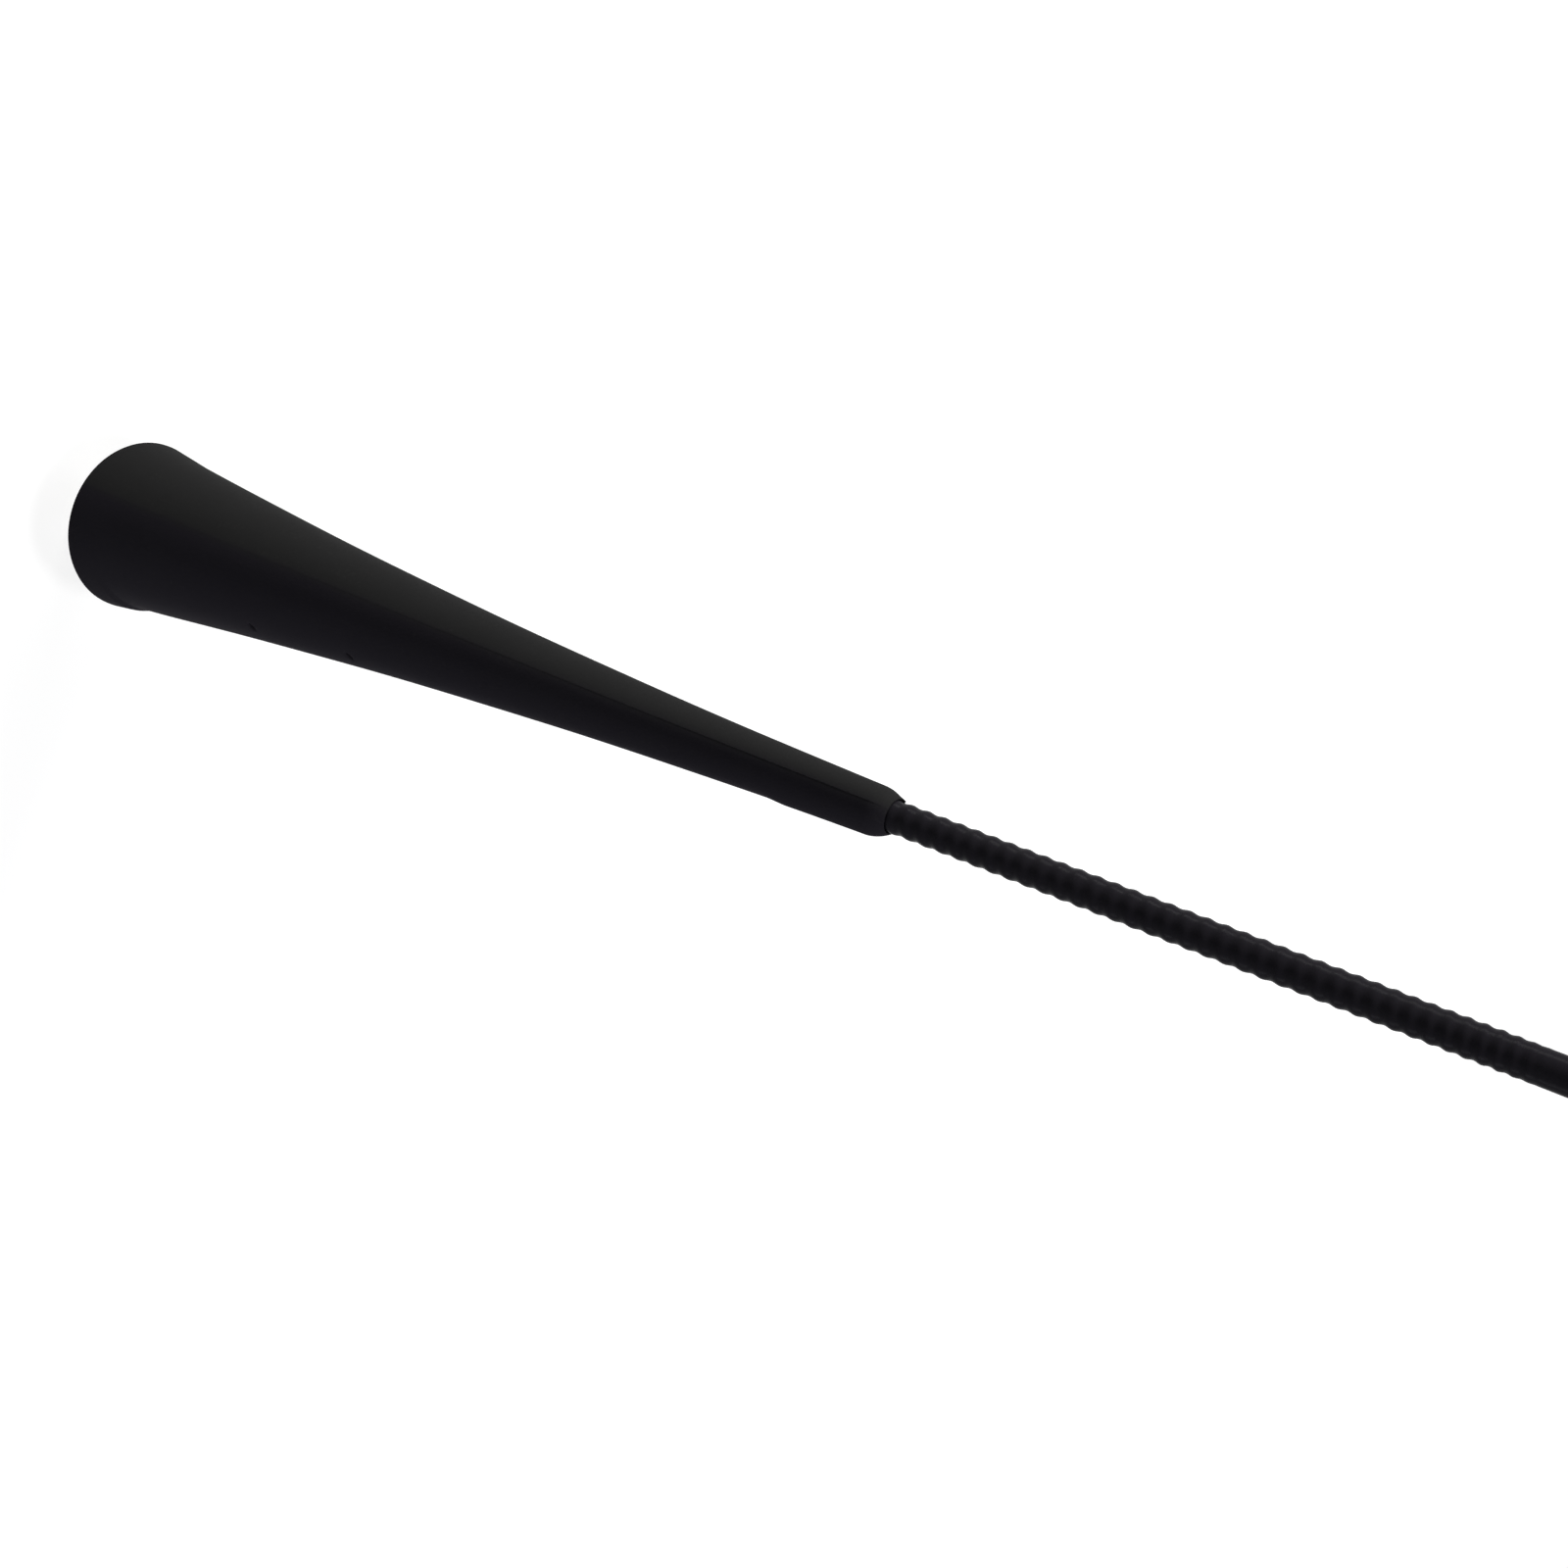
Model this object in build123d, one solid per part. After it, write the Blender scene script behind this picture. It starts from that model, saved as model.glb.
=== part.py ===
"""Car mast aerial: a flared boot over a screw stud, with a thin spiral-ribbed whip.

All sizes are in millimetres. The seat plane is z = 0, centred on the stud, and the mast runs along +Z.
"""
import os

from build123d import *

# Overall lengths
mast_length = 400.0  # from the seat plane to the top of the tip
boot_length = 110.0  # from the seat plane to the end of the neck
stud_length = 9.0  # how far the stud stands below the seat plane

# Flared boot, one moulding
rim_diameter = 20.2
rim_chamfer = 0.5
skirt_height = 6.5  # where the short skirt above the rim runs into the flare
waist_diameter = 18.4  # at the top of the skirt
flare_radius = 1180.0  # one long hollow curve from the skirt to the neck
neck_wall = 0.745
neck_round_height = 2.1
recess_diameter = 15.0
recess_depth = 2.0

# Threaded ferrule, turned from bar and moulded into the boot
stud_diameter = 5.0
stud_chamfer = 0.6
shoulder_depth = 1.0  # how far the contact shoulder lies inside the rim
flange_diameter = 9.0
flange_thickness = 3.0
shank_diameter = 6.4
shank_length = 28.0
shank_chamfer = 0.6
groove_width = 2.0
groove_depth = 0.6
groove_pitch = 10.0
groove_count = 2
socket_depth = 22.0

# Core rod and the enamelled wire wound on it
rod_diameter = 1.9
rod_glue_gap = 0.03
wire_diameter = 0.28
enamel_thickness = 0.02
winding_gap = 0.02  # radial room under and over the winding
lead_length = 4.0  # bare wire between the solder and the first turn
winding_top_margin = 14.0

# Solder that joins the lead to the ferrule
solder_diameter = 4.8
solder_top_diameter = 3.2
solder_height = 1.5

# Sheath shrunk over the winding
sheath_wall = 0.28
rib_height = 0.13  # from valley to crest
rib_hidden_length = 1.3  # how far the spiral starts inside the neck
rib_turns = 38
rings_per_turn = 6
turns_per_skin = 6  # the spiral is skinned in stretches of this many turns
open_pitch = 1.78  # at the neck
close_pitch = 1.1  # where the spiral dies out
closing_power = 4  # the higher, the later the pitch closes up
rise_turns = 0.5  # turns in which the rib rises from the plain sheath
fade_turns = 6  # turns in which it sinks back
neck_clearance = 0.02

# Tip cap
cap_length = 10.0
cap_diameter = 4.0
cap_top_wall = 2.0
cap_clearance = 0.02

# Places and radii that follow from the sizes above
rod_radius = rod_diameter / 2
winding_inner_radius = rod_radius + winding_gap
winding_outer_radius = winding_inner_radius + wire_diameter
sheath_bore_radius = winding_outer_radius + winding_gap
sheath_radius = sheath_bore_radius + sheath_wall
crest_offset = rib_height / 2
neck_bore_radius = sheath_radius + crest_offset + neck_clearance
neck_radius = neck_bore_radius + neck_wall
rim_radius = rim_diameter / 2
socket_radius = rod_radius + rod_glue_gap
shank_base = shoulder_depth + flange_thickness
shank_top = shank_base + shank_length
socket_floor = shank_top - socket_depth
solder_top = shank_top + solder_height
mast_top = mast_length - cap_top_wall
rib_base = boot_length - rib_hidden_length


def turned(outline):
    """Turn a closed half section, drawn as radius and height, about the mast's axis."""
    return revolve(Plane.XZ * make_face(outline), Axis.Z)


def tube(outer_radius, inner_radius, bottom, top):
    """A straight tube on the mast's axis."""
    ring = Circle(outer_radius) - Circle(inner_radius)
    return extrude(Pos(0, 0, bottom) * ring, top - bottom)


def plain_rod(radius, bottom, top):
    """A straight round bar on the mast's axis."""
    return extrude(Pos(0, 0, bottom) * Circle(radius), top - bottom)


def threaded_ferrule():
    """Stud, contact shoulder and grooved shank, with a socket for the core rod in the top."""
    stud_radius = stud_diameter / 2
    shank_radius = shank_diameter / 2
    flange_radius = flange_diameter / 2
    blank = turned(
        Polyline(
            (0, -stud_length),
            (stud_radius - stud_chamfer, -stud_length),
            (stud_radius, stud_chamfer - stud_length),
            (stud_radius, shoulder_depth),
            (flange_radius, shoulder_depth),
            (flange_radius, shank_base),
            (shank_radius, shank_base),
            (shank_radius, shank_top - shank_chamfer),
            (shank_radius - shank_chamfer, shank_top),
            (0, shank_top),
            close=True,
        )
    )
    ferrule = blank - plain_rod(socket_radius, socket_floor, shank_top)
    for number in range(1, groove_count + 1):
        groove_middle = shank_base + number * groove_pitch - groove_pitch / 2
        groove_bottom = groove_middle - groove_width / 2
        ferrule -= tube(flange_radius, shank_radius - groove_depth, groove_bottom, groove_bottom + groove_width)
    return ferrule


def core_rod():
    """Fibreglass rod from the floor of the ferrule's socket to the top of the mast."""
    return plain_rod(rod_radius, socket_floor, mast_top)


def solder_joint():
    """Cone of solder on the ferrule's top face, round the rod."""
    return turned(
        Polyline(
            (winding_inner_radius, shank_top),
            (solder_diameter / 2, shank_top),
            (solder_top_diameter / 2, solder_top),
            (winding_inner_radius, solder_top),
            close=True,
        )
    )


def aerial_winding():
    """The wound wire as one sleeve of turns, with its bare lead running down to the solder."""
    first_turn = solder_top + lead_length
    last_turn = mast_top - winding_top_margin
    turns = tube(winding_outer_radius, winding_inner_radius, first_turn, last_turn)
    lead_place = (winding_inner_radius + winding_outer_radius) / 2
    lead_radius = wire_diameter / 2 - enamel_thickness
    lead = extrude(Pos(lead_place, 0, solder_top) * Circle(lead_radius), lead_length)
    return turns + lead


def spiral_rings():
    """Circles that wander round the axis as they climb, so that their skin is one raised spiral rib."""
    rings = []
    height = rib_base
    for step in range(rib_turns * rings_per_turn + 1):
        turn = step / rings_per_turn
        lift = min(1, turn / rise_turns, (rib_turns - turn) / fade_turns)
        middle = Vector(crest_offset * lift, 0, height).rotate(Axis.Z, 360 * turn)
        ring = Pos(middle) * Circle(sheath_radius)
        rings.append(ring.face())
        pitch = open_pitch + (close_pitch - open_pitch) * (turn / rib_turns) ** closing_power
        height += pitch / rings_per_turn
    return rings


def mast_sheath():
    """Thin sleeve over the winding: plain in the boot, spiral-ribbed above it and plain to the tip."""
    rings = spiral_rings()
    rib_top = rings[-1].center().Z
    skin_steps = turns_per_skin * rings_per_turn
    sheath = plain_rod(sheath_radius, solder_top, rib_base)
    for first in range(0, len(rings) - 1, skin_steps):
        sheath += loft(rings[first : first + skin_steps + 1])
    sheath += plain_rod(sheath_radius, rib_top, mast_top)
    return sheath - plain_rod(sheath_bore_radius, solder_top, mast_top)


def tip_cap():
    """Domed cap pushed over the end of the sheath."""
    cap_radius = cap_diameter / 2
    cap_base = mast_length - cap_length
    bore_radius = sheath_radius + cap_clearance
    wall = Polyline(
        (0, mast_length),
        (0, mast_top),
        (bore_radius, mast_top),
        (bore_radius, cap_base),
        (cap_radius, cap_base),
        (cap_radius, mast_length - cap_radius),
    )
    dome = TangentArc(wall @ 1, wall @ 0, tangent=(0, 1))
    return turned(wall + dome)


def flared_boot(ferrule, solder):
    """Trumpet-shaped moulding that closes round the ferrule, the solder and the foot of the sheath."""
    recess_radius = recess_diameter / 2
    neck_foot = (neck_radius, boot_length - neck_round_height)
    neck_end = (neck_bore_radius, boot_length)
    foot = Polyline(
        (0, boot_length),
        (0, recess_depth),
        (recess_radius, recess_depth),
        (recess_radius, 0),
        (rim_radius - rim_chamfer, 0),
        (rim_radius, rim_chamfer),
        (waist_diameter / 2, skirt_height),
    )
    flare = RadiusArc(foot @ 1, neck_foot, flare_radius)
    neck_round = TangentArc(neck_foot, neck_end, tangent=flare % 1)
    top = Line(neck_end, foot @ 0)
    moulding = turned(foot + flare + neck_round + top)
    rod_bore = plain_rod(socket_radius, socket_floor, solder_top)
    sheath_bore = plain_rod(neck_bore_radius, solder_top, boot_length)
    return moulding - ferrule - solder - rod_bore - sheath_bore


def main():
    """Build every piece and write each one to its own file."""
    ferrule = threaded_ferrule()
    solder = solder_joint()
    pieces = {
        "flared_boot": flared_boot(ferrule, solder),
        "threaded_ferrule": ferrule,
        "core_rod": core_rod(),
        "aerial_winding": aerial_winding(),
        "solder_joint": solder,
        "mast_sheath": mast_sheath(),
        "tip_cap": tip_cap(),
    }
    os.makedirs("parts", exist_ok=True)
    for name, solid in pieces.items():
        export_step(solid, f"parts/{name}.step")


main()
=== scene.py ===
"""Looks of the car mast aerial: flared boot, spiral-ribbed whip, threaded stud and tip cap.

Everything is in metres, in the CAD frame: the seat plane is z = 0 and the mast runs up along +Z.
Angles round the mast are counted from +X towards +Y.
"""
import functools
import math

import bmesh
import bpy
import numpy as np
from mathutils import Matrix, Vector


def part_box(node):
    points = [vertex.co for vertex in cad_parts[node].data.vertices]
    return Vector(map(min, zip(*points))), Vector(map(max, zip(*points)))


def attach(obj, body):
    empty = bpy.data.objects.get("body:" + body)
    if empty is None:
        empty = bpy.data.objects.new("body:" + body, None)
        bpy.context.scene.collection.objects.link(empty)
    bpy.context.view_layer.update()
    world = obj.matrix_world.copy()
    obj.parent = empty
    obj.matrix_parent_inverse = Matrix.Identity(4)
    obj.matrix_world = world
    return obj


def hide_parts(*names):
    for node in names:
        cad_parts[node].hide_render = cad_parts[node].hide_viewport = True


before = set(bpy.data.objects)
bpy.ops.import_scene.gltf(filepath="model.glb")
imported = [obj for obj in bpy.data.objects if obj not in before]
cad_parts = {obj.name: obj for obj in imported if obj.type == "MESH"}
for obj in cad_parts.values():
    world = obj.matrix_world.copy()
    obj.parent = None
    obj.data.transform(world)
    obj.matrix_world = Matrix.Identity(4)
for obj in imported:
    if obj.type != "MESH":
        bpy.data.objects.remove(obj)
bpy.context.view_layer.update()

MM = 0.001
FULL_TURN = 2 * math.pi

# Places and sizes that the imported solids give
boot_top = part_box("flared_boot")[1].z
rim_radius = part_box("flared_boot")[1].y
stud_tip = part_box("threaded_ferrule")[0].z
shank_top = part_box("threaded_ferrule")[1].z
solder_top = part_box("solder_joint")[1].z
solder_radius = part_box("solder_joint")[1].y
sheath_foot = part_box("mast_sheath")[0].z
mast_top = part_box("mast_sheath")[1].z
winding_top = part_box("aerial_winding")[1].z
cap_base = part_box("tip_cap")[0].z
cap_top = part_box("tip_cap")[1].z
cap_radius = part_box("tip_cap")[1].y

# Boot
rim_round = 0.47 * MM
rim_overrun = 0.06 * MM  # how far the rim's corner stands out before it is rounded
waist_radius = 9.2 * MM
waist_height = 6.5 * MM
flare_radius = 1180 * MM
neck_radius = 2.38 * MM
neck_round = 2.1 * MM
neck_bore = 1.635 * MM
neck_chamfer = 0.12 * MM  # at the mouth of the neck
recess_radius = 7.5 * MM
recess_depth = 2.0 * MM
recess_corner_round = 0.4 * MM
recess_edge_round = 0.3 * MM
solder_top_radius = 1.6 * MM

# Marks of the mould and of use on the boot
front_line = math.radians(258)  # where the two halves of the mould met
back_line = math.radians(78)
line_slack = 1e-9  # what lies this close to the line counts as on it
foot_ridge = 0.03 * MM  # the ridge along the line is low at the foot and high at the neck
neck_ridge = 0.13 * MM
ridge_grows = (20 * MM, 98 * MM)  # heights between which it grows
ridge_run = 1.3 * MM
ledge_share = 0.35  # the lower half lies under the upper one by this share of the ridge
lower_side = math.radians(354)  # where the steps at the rim and the neck are highest
step_spread = math.radians(24)
rim_step_height = 4.2 * MM
rim_step_length = 1.0 * MM
rim_step = 0.14 * MM
rim_hollow = 0.24 * MM  # the flare is sunk a little where it leaves the rim's step
rim_hollow_length = 4.0 * MM
neck_step_height = 97.5 * MM
neck_step_length = 2.0 * MM
neck_step = 0.16 * MM
nicks = ((27.5 * MM, math.radians(330)), (42.0 * MM, math.radians(331.5)))  # height and angle
nick_depth = 1.1 * MM
nick_length = 0.22 * MM
nick_width = 0.34 * MM
nick_slant = 0.5
spur_angle = math.radians(165)  # a tag of flash left at the neck's mouth
spur_height = 0.3 * MM
spur_spread = math.radians(9)
spur_root = 0.5 * MM  # how far under the mouth it starts
wobble = 0.02 * MM  # slow unevenness of the moulding
wobble_settle = 20 * MM  # height in which it sets in
wobble_climb = 7 * MM  # it is made of two waves, which climb opposite ways round the boot
wobble_climb_lobes = 3
wobble_cross = 11 * MM
wobble_cross_lobes = 2

# Ferrule
stud_radius = 2.5 * MM
stud_core = 2.02 * MM
stud_tip_round = 0.03 * MM
stud_lead_in = 0.6 * MM
relief_radius = 1.95 * MM
relief_slope = 0.1 * MM
relief_round = 0.15 * MM
shoulder = 1.0 * MM
flange_radius = 4.5 * MM
flange_round = 0.25 * MM
shank_base = 4.0 * MM
shank_radius = 3.2 * MM
shank_chamfer = 0.6 * MM
groove_floor = 2.6 * MM
groove_half = 1.0 * MM
groove_middles = (19 * MM, 9 * MM)
socket_radius = 0.98 * MM
socket_floor = 10.0 * MM
socket_round = 0.1 * MM
thread_pitch = 0.8 * MM
thread_crest = 0.12 * MM
thread_root = 0.68 * MM
thread_sunk = 0.04 * MM  # how far the ridge reaches into the stud's core
thread_stop = 0.1 * MM  # how far under the seat plane it ends
thread_run_out = 0.6  # turns in which it sinks away at each end
thread_end_share = 0.05  # what is left of it at the very end

# Sheath and winding, which share one spiral
sheath_radius = 1.55 * MM
sheath_bore = 1.27 * MM
crest_offset = 0.065 * MM
rib_base = boot_top - 1.3 * MM
rib_turns = 38
open_pitch = 1.78 * MM
close_pitch = 1.1 * MM
closing_power = 4.0
rise_turns = 0.5
fade_turns = 3.0  # the solid's rib sinks back over twice as many turns
wire_radius = 0.135 * MM
wire_place = 1.11 * MM
hidden_turns = 40  # turns of the winding inside the boot
wound_pitch = 0.3 * MM  # where the turns lie side by side, above the ribs

# Tip cap
cap_bore = 1.57 * MM
cap_bore_round = 0.08 * MM
cap_lip = 0.3 * MM

# How finely the pieces are meshed
rounding_points = 5
straight_corner = math.pi / 2 - 0.01  # from this half angle on, a corner is left as it is
flare_rows = 150
skirt_rows = 33
neck_rows = 16
nick_rows = (0, 0.1 * MM, 0.22 * MM, 0.4 * MM, 0.65 * MM)  # extra rows, by their distance from a nick
neck_step_rows = (0, 0.35 * MM, 0.7 * MM, 1.1 * MM)
row_digits = 6  # heights are rounded to these digits, so that no two rows nearly meet
boot_columns = 110
line_columns = np.radians([0, 0.7, 1.6, 3, 5, 8, 12])  # extra columns, by their angle from a line
mark_columns = np.radians([0, 0.6, 1.3, 2.2, 3.5, 6])
column_digits = 3
ferrule_columns = 72
thread_points = 48  # in a turn
sheath_rings = 24  # in a turn
sheath_sides = 40
closing_rings = 4  # rings that close the sheath over its top and down its bore
wire_points = 12  # in a turn
wire_sides = 6
cap_columns = 56
dome_rows = 20
seam_reach = 1e-6
weld_reach = 2e-7
sliver_length = 1e-8
sharp_edge = math.radians(32)
sharp_thread_edge = math.radians(25)
sharp_wire_edge = math.radians(70)

# Finishes
# Painted light and shade on the boot: a darker, bluer black for its shaded half and a paler one for its half
# towards the key light
rubber_black_painted_shade = (0.0175, 0.0156, 0.0208, 1)
rubber_black_painted_light = (0.0206, 0.0204, 0.0208, 1)
rubber_pale = (0.036, 0.036, 0.036, 1)
painted_light_edge = 0.8 * MM  # half the width of the change from the painted shade to the painted light, where one mould half meets the other
sleeve_black = (0.0148, 0.0132, 0.0177, 1)
sleeve_pale = (0.0235, 0.0235, 0.0235, 1)
ripple_height = 0.12
ripple_overlap = 5 * MM  # how far under the end of an even spiral the ripple starts
ripple_grows = 20 * MM
cap_black = (0.014, 0.0135, 0.015, 1)
cap_pale = (0.026, 0.026, 0.026, 1)
dust_grey = (0.09, 0.088, 0.082, 1)
dust_edge = 0.12  # the lower, the sharper the edges of its specks
speck_share = 0.6
streak_share = 0.4
streak_squeeze = (1.0, 1.0, 0.06)
nickel_dull = (0.62, 0.60, 0.55, 1)
nickel_bright = (0.72, 0.70, 0.65, 1)
bare_brass = (0.62, 0.42, 0.16, 1)
worn_depth = 0.1 * MM
resin_dark = (0.6, 0.57, 0.44, 1)
resin_pale = (0.8, 0.78, 0.68, 1)
copper_dark = (0.42, 0.14, 0.05, 1)
copper_bright = (0.68, 0.28, 0.12, 1)
tin_dark = (0.42, 0.43, 0.44, 1)
tin_bright = (0.66, 0.67, 0.68, 1)
noise_low = 0.3  # nearly all of a noise lies between these two values
noise_high = 0.7

# Photograph: 1600 pixels square
photo_size = 1600
photo_focal = 2105.0
camera_place = Vector((0, -168.285 * MM, 199.667 * MM))
camera_look = math.radians(-31.248)
camera_side = math.radians(0.258)
camera_roll = math.radians(21.272)
camera_near = 0.01
sensor_width = 36.0

# Studio
white = (1, 1, 1, 1)
paper_grey = (0.35, 0.35, 0.35, 1)
floor_half = 3.0
floor_glow = 0.8  # the floor's own white round the stud, less than 1 so that the shadow shows
shadow_core = 60 * MM  # up to here from the stud the floor shows the shadow in full
shadow_reach = 240 * MM  # from here on it shows as good as none
sky_tint = (0.9, 0.95, 1.0, 1)
sky_light = 0.015


# Short ways to write node trees

FLOAT = "NodeSocketFloat"
WHOLE = "NodeSocketInt"
GEOMETRY = "NodeSocketGeometry"
MATERIAL = "NodeSocketMaterial"

# A Mix node has these sockets for colours; those for numbers come first and have the same names
MIX_FIRST = 6
MIX_SECOND = 7
MIX_RESULT = 2


def feed(tree, socket, value):
    """Join another node's output to a socket, or set the socket to a plain value."""
    if isinstance(value, bpy.types.NodeSocket):
        tree.links.new(value, socket)
    else:
        socket.default_value = value


def add(tree, kind, inputs=None, **settings):
    """Add a node with its settings, and feed its inputs by name or place."""
    node = tree.nodes.new(kind)
    for name, value in settings.items():
        setattr(node, name, value)
    for key, value in (inputs or {}).items():
        feed(tree, node.inputs[key], value)
    return node


def calc(tree, operation, *values):
    """One step of arithmetic on sockets and numbers."""
    node = add(tree, "ShaderNodeMath", dict(enumerate(values)), operation=operation)
    return node.outputs[0]


def join_xyz(tree, x, y, z):
    """Three numbers as a place."""
    return add(tree, "ShaderNodeCombineXYZ", {"X": x, "Y": y, "Z": z}).outputs[0]


def numbers(*names):
    """Inputs of a tree that are plain numbers."""
    return {name: FLOAT for name in names}


def new_tree(name, kind, inputs, outputs):
    """A node tree with named sockets; gives the tree, what comes in and the node for what goes out."""
    tree = bpy.data.node_groups.new(name, kind)
    for label, socket_type in inputs.items():
        tree.interface.new_socket(name=label, in_out="INPUT", socket_type=socket_type)
    for label, socket_type in outputs.items():
        tree.interface.new_socket(name=label, in_out="OUTPUT", socket_type=socket_type)
    given = add(tree, "NodeGroupInput").outputs
    result = add(tree, "NodeGroupOutput")
    return tree, given, result


# Geometry trees: the ribbed sheath, the wound wire and the stud's thread

spiral_inputs = numbers("Base", "Turns", "Open Pitch", "Close Pitch", "Closing Power")


def shape_tree(name, inputs):
    """A tree that takes sizes and a material, and puts out a shape."""
    return new_tree(name, "GeometryNodeTree", {**inputs, "Material": MATERIAL}, {"Geometry": GEOMETRY})


def finish_tree(tree, geometry, given, result):
    """Every tree of a shape ends in plain geometry with its material."""
    plain = add(tree, "GeometryNodeRealizeInstances", {"Geometry": geometry}).outputs[0]
    dressed = add(tree, "GeometryNodeSetMaterial", {"Geometry": plain, "Material": given["Material"]})
    feed(tree, result.inputs["Geometry"], dressed.outputs[0])
    return tree


def pick(tree, test, yes, no):
    """One of two numbers, by a test of 0 or 1."""
    taken = calc(tree, "MULTIPLY", test, yes)
    left = calc(tree, "MULTIPLY", calc(tree, "SUBTRACT", 1.0, test), no)
    return calc(tree, "ADD", taken, left)


def off_axis(tree, reach, angle):
    """The x and y of what lies at a distance from the axis, at an angle round it."""
    x = calc(tree, "MULTIPLY", reach, calc(tree, "COSINE", angle))
    y = calc(tree, "MULTIPLY", reach, calc(tree, "SINE", angle))
    return x, y


def climb_tree():
    """How high the spiral has climbed after a number of turns. It closes up towards its last turn."""
    inputs = {"Turn": FLOAT, **spiral_inputs}
    tree, given, result = new_tree("spiral climb", "GeometryNodeTree", inputs, {"Height": FLOAT})
    even = calc(tree, "MULTIPLY", given["Open Pitch"], given["Turn"])
    share = calc(tree, "DIVIDE", calc(tree, "MAXIMUM", given["Turn"], 0.0), given["Turns"])
    power = calc(tree, "ADD", given["Closing Power"], 1.0)
    lost = calc(tree, "SUBTRACT", given["Close Pitch"], given["Open Pitch"])
    lost = calc(tree, "DIVIDE", calc(tree, "MULTIPLY", lost, given["Turns"]), power)
    closing = calc(tree, "MULTIPLY", lost, calc(tree, "POWER", share, power))
    height = calc(tree, "ADD", given["Base"], calc(tree, "ADD", even, closing))
    feed(tree, result.inputs["Height"], height)
    return tree


def climb(tree, climb_group, given, turn):
    """Place the climb group in a tree that has the spiral's sizes among its inputs."""
    inputs = {"Turn": turn, **{name: given[name] for name in spiral_inputs}}
    return add(tree, "GeometryNodeGroup", inputs, node_tree=climb_group).outputs["Height"]


def sheath_tree(climb_group):
    """A sleeve of rings that wander round the axis as they climb, which leaves one raised spiral rib."""
    lengths = numbers("Foot", "Top", "Radius", "Bore", "Crest Offset", "Rise Turns", "Fade Turns")
    inputs = {**spiral_inputs, **lengths, "Rings Per Turn": WHOLE, "Sides": WHOLE}
    tree, given, result = shape_tree("spiral sheath", inputs)
    last_rib = calc(tree, "ADD", calc(tree, "MULTIPLY", given["Turns"], given["Rings Per Turn"]), 1.0)
    rows = calc(tree, "ADD", last_rib, 1.0 + closing_rings)
    columns = calc(tree, "ADD", given["Sides"], 1.0)
    skin = add(tree, "GeometryNodeMeshGrid", {"Vertices X": columns, "Vertices Y": rows}).outputs["Mesh"]

    index = add(tree, "GeometryNodeInputIndex").outputs[0]
    side = calc(tree, "FLOOR", calc(tree, "DIVIDE", calc(tree, "ADD", index, 0.5), rows))
    ring = calc(tree, "SUBTRACT", index, calc(tree, "MULTIPLY", side, rows))
    angle = calc(tree, "DIVIDE", calc(tree, "MULTIPLY", side, FULL_TURN), given["Sides"])
    turn = calc(tree, "DIVIDE", calc(tree, "SUBTRACT", ring, 1.0), given["Rings Per Turn"])

    rise = calc(tree, "DIVIDE", turn, given["Rise Turns"])
    fade = calc(tree, "DIVIDE", calc(tree, "SUBTRACT", given["Turns"], turn), given["Fade Turns"])
    lift = calc(tree, "MINIMUM", calc(tree, "MINIMUM", rise, fade), 1.0)
    lean = calc(tree, "MULTIPLY", given["Crest Offset"], calc(tree, "MAXIMUM", lift, 0.0))
    phase = calc(tree, "MULTIPLY", turn, FULL_TURN)

    # Ring 0 is the foot. After the last rib come the top, the bore's top, its foot and the foot again
    past_ribs, in_bore, back_down, closed = [
        calc(tree, "GREATER_THAN", ring, calc(tree, "ADD", last_rib, step + 0.5))
        for step in range(closing_rings)
    ]
    first = calc(tree, "LESS_THAN", ring, 0.5)

    height = climb(tree, climb_group, given, turn)
    height = pick(tree, past_ribs, given["Top"], height)
    height = pick(tree, calc(tree, "MAXIMUM", back_down, first), given["Foot"], height)
    radius = pick(tree, calc(tree, "SUBTRACT", in_bore, closed), given["Bore"], given["Radius"])
    middle_x, middle_y = off_axis(tree, lean, phase)
    side_x, side_y = off_axis(tree, radius, angle)
    x = calc(tree, "ADD", middle_x, side_x)
    y = calc(tree, "ADD", middle_y, side_y)
    place = join_xyz(tree, x, y, height)
    shaped = add(tree, "GeometryNodeSetPosition", {"Geometry": skin, "Position": place}).outputs[0]
    welded = add(tree, "GeometryNodeMergeByDistance", {"Geometry": shaped, "Distance": seam_reach})
    return finish_tree(tree, welded.outputs[0], given, result)


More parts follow.
